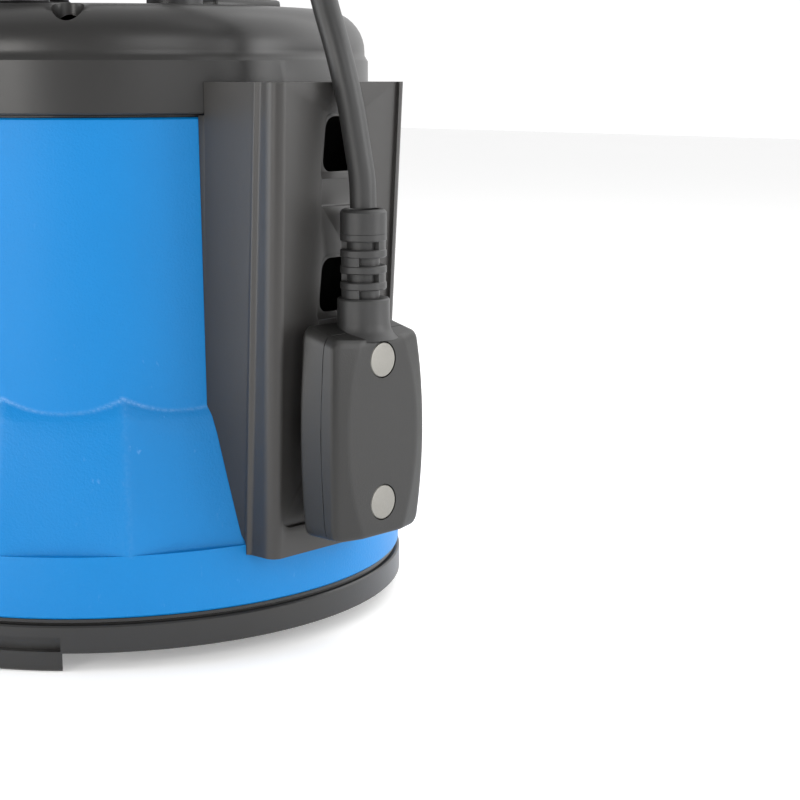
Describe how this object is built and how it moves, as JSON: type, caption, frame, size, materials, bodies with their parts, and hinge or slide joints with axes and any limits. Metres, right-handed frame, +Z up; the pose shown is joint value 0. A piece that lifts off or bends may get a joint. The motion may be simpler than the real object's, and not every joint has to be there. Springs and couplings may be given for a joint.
{
  "type": "submersible drainage pump",
  "caption": "Submersible drainage pump: fluted blue casing on a low base ring, with an electronic level sensor hooked on a slotted side rail, a handle and a hose elbow.",
  "frame": {"origin": "centre of the feet's plane, on the pump's axis", "axes": "+Z up along the pump's axis, +X towards the sensor rail, -X towards the hose nozzle"},
  "size_m": [0.2701, 0.2068, 0.2751],
  "materials": {
    "casing_blue": "satin",
    "dark_plastic": "satin",
    "black_plastic": "satin",
    "sensor_plastic": "satin",
    "rubber": "matte",
    "stainless": "brushed",
    "steel": "satin",
    "copper": "satin",
    "aluminium": "satin",
    "ceramic": "polished",
    "circuit_board": "matte"
  },
  "bodies": {
    "pump": {"outer_shell": "casing_blue", "base_strainer": "dark_plastic", "top_cover": "dark_plastic", "carry_handle": "dark_plastic", "sensor_rail": "dark_plastic", "suction_cover": "black_plastic", "pump_chamber": "black_plastic", "valve_seat": "black_plastic", "sensor_gland": "black_plastic", "sensor_gland_nut": "black_plastic", "mains_gland": "black_plastic", "mains_gland_nut": "black_plastic", "motor_lid": "black_plastic", "outlet_gasket": "rubber", "cover_gasket": "rubber", "lid_seal": "rubber", "sensor_cable": "rubber", "valve_pin": "stainless", "motor_can": "stainless", "stator_core": "steel", "lower_bearing": "steel", "upper_bearing": "steel", "base_screw_1": "steel", "base_screw_2": "steel", "base_screw_3": "steel", "base_screw_4": "steel", "cover_screw_1": "steel", "cover_screw_2": "steel", "cover_screw_3": "steel", "cover_screw_4": "steel", "rail_screw_1": "steel", "rail_screw_2": "steel", "handle_screw_1": "steel", "handle_screw_2": "steel", "lower_winding": "copper", "upper_winding": "copper", "seal_carrier": "aluminium", "upper_bracket": "aluminium", "capacitor": "aluminium", "seal_seat": "ceramic", "control_board": "circuit_board"},
    "rotor": {"shaft": "stainless", "rotor_core": "aluminium", "impeller": "black_plastic", "impeller_nut": "stainless", "seal_head": "rubber"},
    "flap": {"valve_flap": "rubber"},
    "elbow": {"discharge_elbow": "dark_plastic", "hose_adapter": "black_plastic"},
    "nut": {"union_nut": "dark_plastic"},
    "sensor": {"sensor_housing": "sensor_plastic", "sensor_cover": "sensor_plastic", "sensor_board": "circuit_board", "sensor_hook": "sensor_plastic", "strain_relief": "rubber", "lower_electrode": "stainless", "upper_electrode": "stainless"}
  },
  "joints": [
    {"name": "rotor_spin", "type": "hinge", "parent": "pump", "child": "rotor", "pos_m": [0, 0, 0.1], "axis": [0, 0, 1], "continuous": true},
    {"name": "valve_flap_lift", "type": "hinge", "parent": "pump", "child": "flap", "pos_m": [-0.0384, 0, 0.2114], "axis": [0, 1, 0], "range_deg": [0, 65]},
    {"name": "elbow_swivel", "type": "hinge", "parent": "pump", "child": "elbow", "pos_m": [-0.052, 0, 0.24], "axis": [0, 0, 1], "range_deg": [-100, 100]},
    {"name": "union_nut_turn", "type": "hinge", "parent": "elbow", "child": "nut", "pos_m": [-0.052, 0, 0.22], "axis": [0, 0, 1], "continuous": true},
    {"name": "sensor_lift", "type": "slide", "parent": "pump", "child": "sensor", "axis": [0, 0, 1], "range_m": [0, 0.007], "deforming": ["sensor_cable"]}
  ]
}
